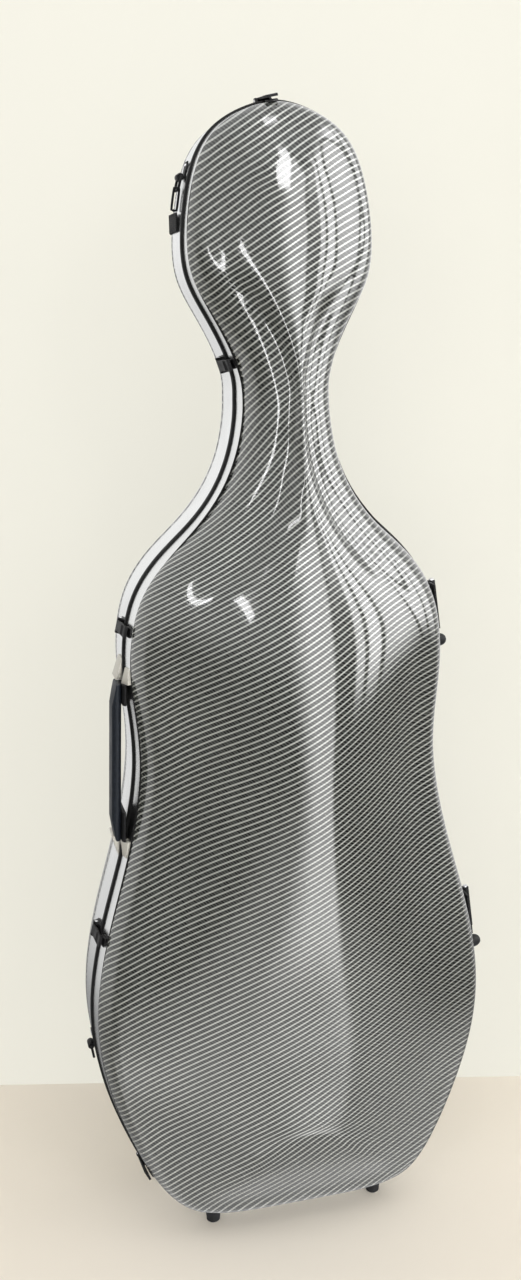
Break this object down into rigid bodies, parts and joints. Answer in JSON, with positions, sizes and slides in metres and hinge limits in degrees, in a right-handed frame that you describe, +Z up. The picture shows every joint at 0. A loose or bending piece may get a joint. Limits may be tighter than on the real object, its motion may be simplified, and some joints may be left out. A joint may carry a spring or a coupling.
{
  "type": "cello hard case",
  "caption": "Upright hard case for a cello: two shells meet in metal rims with a rubber seal, with edge latches, a side carry handle, strap rings and a padded interior.",
  "frame": {"origin": "on the floor, under the middle of the overall box", "axes": "+Z up along the case's length, +X to the right as seen from the lid side, +Y from the lid towards the back"},
  "size_m": [0.504, 0.2922, 1.3486],
  "materials": {
    "carbon": "clear-coated twill weave, dark grey with thin light diagonal lines",
    "rim": "polished extrusion",
    "cast": "satin casting",
    "seal": "matt extrusion",
    "rubber": "matt moulding",
    "black_metal": "satin black coating",
    "steel": "brushed",
    "grip": "fine grained moulding",
    "black_plastic": "matt moulding",
    "plush": "short pile over foam",
    "webbing": "ribbed webbing"
  },
  "bodies": {
    "back": {"back_shell": "carbon", "back_rim": "rim", "rim_seal": "seal", "back_lining": "plush", "latch_base_neck": "black_metal", "latch_base_shoulder": "black_metal", "latch_base_lower_bout": "black_metal", "latch_base_corner": "black_metal", "latch_base_crown": "black_metal", "hinge_leaf_back_upper": "black_metal", "hinge_pin_upper": "steel", "hinge_leaf_back_lower": "black_metal", "hinge_pin_lower": "steel", "handle_block_top": "rubber", "handle_block_foot": "rubber", "handle_grip": "grip", "handle_ramp_top": "cast", "handle_ramp_foot": "cast", "back_foot_left": "rubber", "back_foot_right": "rubber", "strap_bracket_upper_left": "black_metal", "strap_ring_upper_left": "black_metal", "snap_hook_left": "black_metal", "strap_bracket_upper_right": "black_metal", "strap_ring_upper_right": "black_metal", "snap_hook_right": "black_metal", "strap_bracket_lower_left": "black_metal", "strap_bracket_lower_right": "black_metal", "head_strap": "webbing", "neck_cradle": "plush", "upper_bout_pad_left": "plush", "upper_bout_pad_right": "plush", "lower_bout_pad_left": "plush", "lower_bout_pad_right": "plush", "endpin_block": "plush"},
    "lid": {"lid_shell": "carbon", "lid_rim": "rim", "lid_lining": "plush", "latch_catch_neck": "black_metal", "latch_catch_shoulder": "black_metal", "latch_catch_lower_bout": "black_metal", "latch_catch_corner": "black_metal", "latch_catch_crown": "black_metal", "hinge_leaf_lid_upper": "black_metal", "hinge_leaf_lid_lower": "black_metal", "lid_foot_left": "rubber", "lid_foot_right": "rubber", "side_bumper_upper": "rubber", "side_bumper_lower": "rubber", "bow_tip_holder": "plush", "bow_clip_bar": "plush"},
    "lever_neck": {"latch_lever_neck": "black_metal"},
    "lever_shoulder": {"latch_lever_shoulder": "black_metal"},
    "lever_lower_bout": {"latch_lever_lower_bout": "black_metal"},
    "lever_corner": {"latch_lever_corner": "black_metal"},
    "lever_crown": {"latch_lever_crown": "black_metal"},
    "ring_lower_left": {"strap_ring_lower_left": "black_metal"},
    "ring_lower_right": {"strap_ring_lower_right": "black_metal"},
    "tab_left": {"bow_tab_left": "black_plastic"},
    "tab_right": {"bow_tab_right": "black_plastic"}
  },
  "joints": [
    {"name": "lid_hinge", "type": "hinge", "parent": "back", "child": "lid", "pos_m": [0.24097, 0.01338, 0.37478], "axis": [-0.1292, 0, 0.9916], "range_deg": [0, 110]},
    {"name": "latch_neck_turn", "type": "hinge", "parent": "back", "child": "lever_neck", "pos_m": [-0.06414, 0.03188, 1.06424], "axis": [0.3268, 0, -0.9451], "range_deg": [0, 110]},
    {"name": "latch_shoulder_turn", "type": "hinge", "parent": "back", "child": "lever_shoulder", "pos_m": [-0.19119, 0.03188, 0.77425], "axis": [-0.2309, 0, -0.973], "range_deg": [0, 110]},
    {"name": "latch_lower_bout_turn", "type": "hinge", "parent": "back", "child": "lever_lower_bout", "pos_m": [-0.23668, 0.03188, 0.40145], "axis": [-0.2679, 0, -0.9635], "range_deg": [0, 110]},
    {"name": "latch_corner_turn", "type": "hinge", "parent": "back", "child": "lever_corner", "pos_m": [-0.19157, 0.03188, 0.07562], "axis": [0.4417, 0, -0.8972], "range_deg": [0, 110]},
    {"name": "latch_crown_turn", "type": "hinge", "parent": "back", "child": "lever_crown", "pos_m": [-0.01109, 0.03188, 1.3436], "axis": [-0.9779, 0, -0.2092], "range_deg": [0, 110]},
    {"name": "strap_ring_lower_left_swing", "type": "hinge", "parent": "back", "child": "ring_lower_left", "pos_m": [-0.2472, 0.04488, 0.24026], "axis": [0, 1, 0], "range_deg": [0, 110]},
    {"name": "strap_ring_lower_right_swing", "type": "hinge", "parent": "back", "child": "ring_lower_right", "pos_m": [0.24302, 0.04488, 0.24026], "axis": [0, -1, 0], "range_deg": [0, 110]},
    {"name": "bow_tab_left_turn", "type": "hinge", "parent": "lid", "child": "tab_left", "pos_m": [-0.05409, -0.07182, 0.235], "axis": [0, 1, 0], "range_deg": [-90, 90]},
    {"name": "bow_tab_right_turn", "type": "hinge", "parent": "lid", "child": "tab_right", "pos_m": [0.04991, -0.07182, 0.235], "axis": [0, 1, 0], "range_deg": [-90, 90]}
  ]
}
